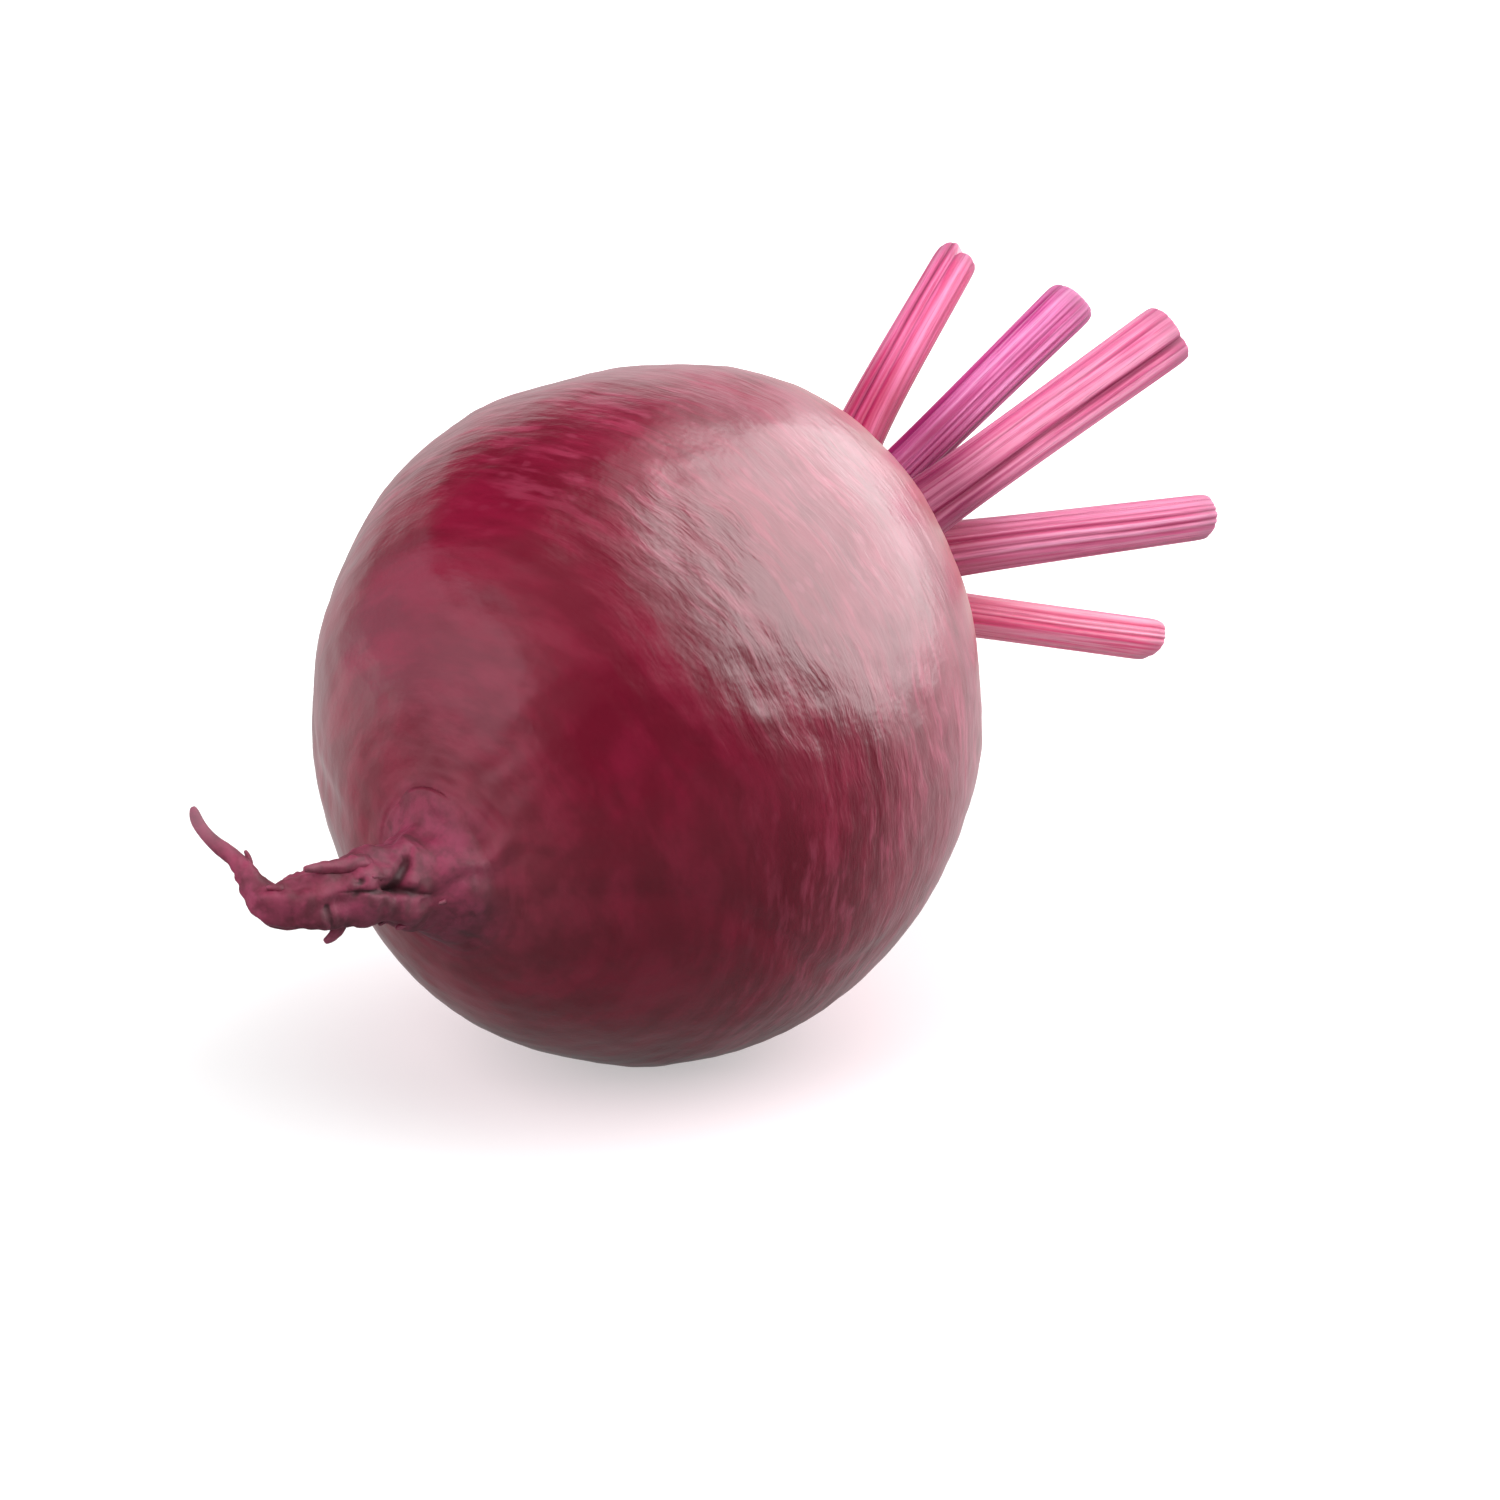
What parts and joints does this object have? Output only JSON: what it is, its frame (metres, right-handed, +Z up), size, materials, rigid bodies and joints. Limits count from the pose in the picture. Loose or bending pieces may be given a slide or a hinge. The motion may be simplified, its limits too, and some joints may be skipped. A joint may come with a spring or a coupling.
{
  "type": "beetroot",
  "caption": "Whole trimmed beetroot lying on its side: a round dark red root with a bent tail, and cut pink leaf stems fanning out from its crown.",
  "frame": {"origin": "centre of the small flat spot on the belly that the beetroot rests on", "axes": "+Z up from the surface it rests on; +Y along the beetroot, level, from its tail to its crown and stems; +X to the side that most of the stems lean to"},
  "size_m": [0.0776, 0.151, 0.0822],
  "materials": {
    "root_skin": "satin, dark red skin with fine streaks",
    "stem_skin": "satin, ribbed pink skin"
  },
  "bodies": {
    "root": {"beet_root": "root_skin", "stem_1": "stem_skin", "stem_2": "stem_skin", "stem_3": "stem_skin", "stem_4": "stem_skin", "stem_5": "stem_skin"}
  },
  "joints": []
}
